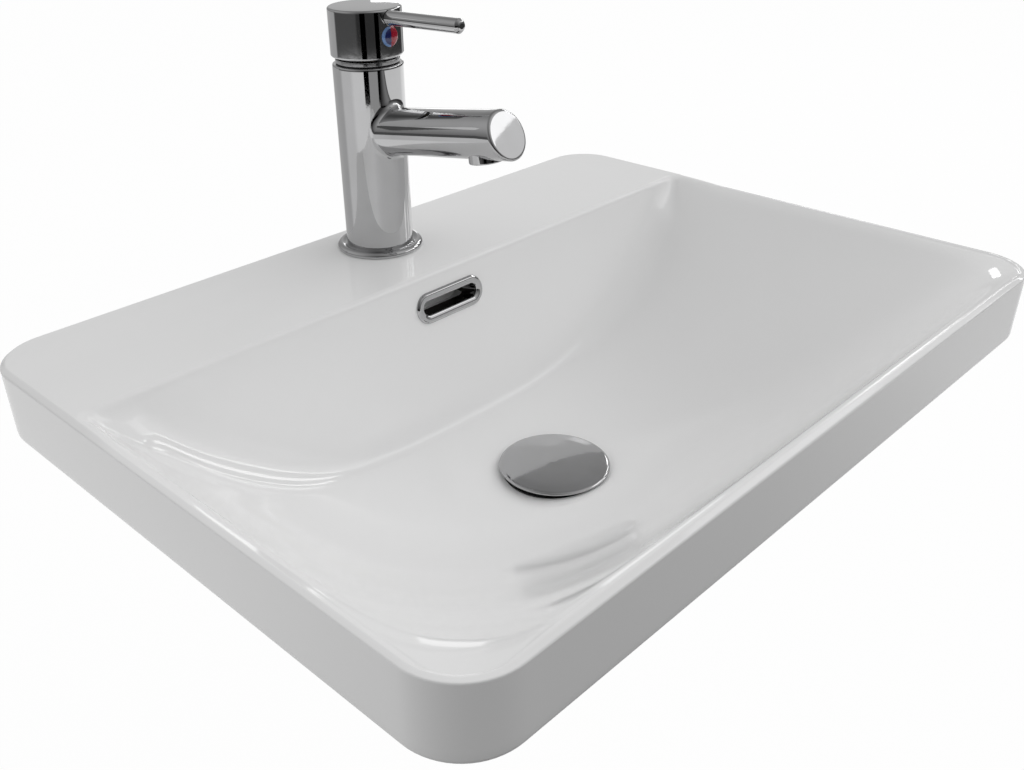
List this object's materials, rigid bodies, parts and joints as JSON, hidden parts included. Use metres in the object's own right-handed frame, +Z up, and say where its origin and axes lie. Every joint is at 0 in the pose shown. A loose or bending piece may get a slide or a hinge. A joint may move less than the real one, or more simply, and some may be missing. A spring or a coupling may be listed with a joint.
{
  "type": "inset basin",
  "caption": "White glazed inset basin with a sloping bowl, a chrome single-lever mixer on its rear deck, an overflow in the back wall and a click waste.",
  "frame": {"origin": "middle of the rim's rectangle, on the worktop plane that the skirt stands on", "axes": "+X to the right, +Y back to the tap, +Z up; the front of the basin faces -Y"},
  "size_m": [0.52, 0.38, 0.359],
  "materials": {
    "white_glaze": "gloss white glaze",
    "chrome_plate": "polished chrome plate on brass",
    "brass": "plain turned brass",
    "rubber_seal": "matt black rubber",
    "fired_ceramic": "ground ceramic",
    "plain_plastic": "plain moulded plastic",
    "steel": "plain steel",
    "indicator_enamel": "gloss, one half red and one half blue"
  },
  "bodies": {
    "fixed_parts": {"basin": "white_glaze", "overflow_ring": "chrome_plate", "tap_body": "chrome_plate", "base_ring": "chrome_plate", "base_gasket": "rubber_seal", "aerator_housing": "chrome_plate", "aerator_insert": "plain_plastic", "aerator_washer": "rubber_seal", "cartridge_body": "plain_plastic", "cartridge_seals": "rubber_seal", "fixed_disc": "fired_ceramic", "cartridge_nut": "brass", "trim_ring": "chrome_plate", "fixing_stud": "steel", "horseshoe_gasket": "rubber_seal", "horseshoe_washer": "steel", "fixing_nut": "brass", "waste_body": "chrome_plate", "waste_bridge": "chrome_plate", "flange_seal": "rubber_seal", "cone_washer": "rubber_seal", "slip_washer": "plain_plastic", "backnut": "brass", "click_guide": "brass", "click_spring": "steel"},
    "swivel": {"cartridge_carrier": "plain_plastic", "pivot_pin": "steel"},
    "lever": {"lever_stem": "brass", "handle": "chrome_plate", "lever_rod": "chrome_plate", "handle_screw": "steel", "indicator_button": "indicator_enamel"},
    "disc": {"moving_disc": "fired_ceramic", "disc_driver": "plain_plastic"},
    "plug": {"waste_cap": "chrome_plate", "cap_seal": "rubber_seal", "click_plunger": "chrome_plate"}
  },
  "joints": [
    {"name": "lever_swivel", "type": "hinge", "parent": "fixed_parts", "child": "swivel", "pos_m": [0, 0.149, 0.1561], "axis": [0, 0, 1], "range_deg": [-50, 50]},
    {"name": "lever_tilt", "type": "hinge", "parent": "swivel", "child": "lever", "pos_m": [0, 0.149, 0.1561], "axis": [-1, 0, 0], "range_deg": [0, 25]},
    {"name": "disc_slide", "type": "slide", "parent": "swivel", "child": "disc", "axis": [0, -1, 0], "range_m": [0, 0.00402]},
    {"name": "cap_click", "type": "slide", "parent": "fixed_parts", "child": "plug", "axis": [0, 0, 1], "range_m": [0, 0.009], "deforming": ["click_spring"]}
  ],
  "couplings": [
    {"joint": "disc_slide", "follows": "lever_tilt", "m_per_rad": 0.0092}
  ]
}
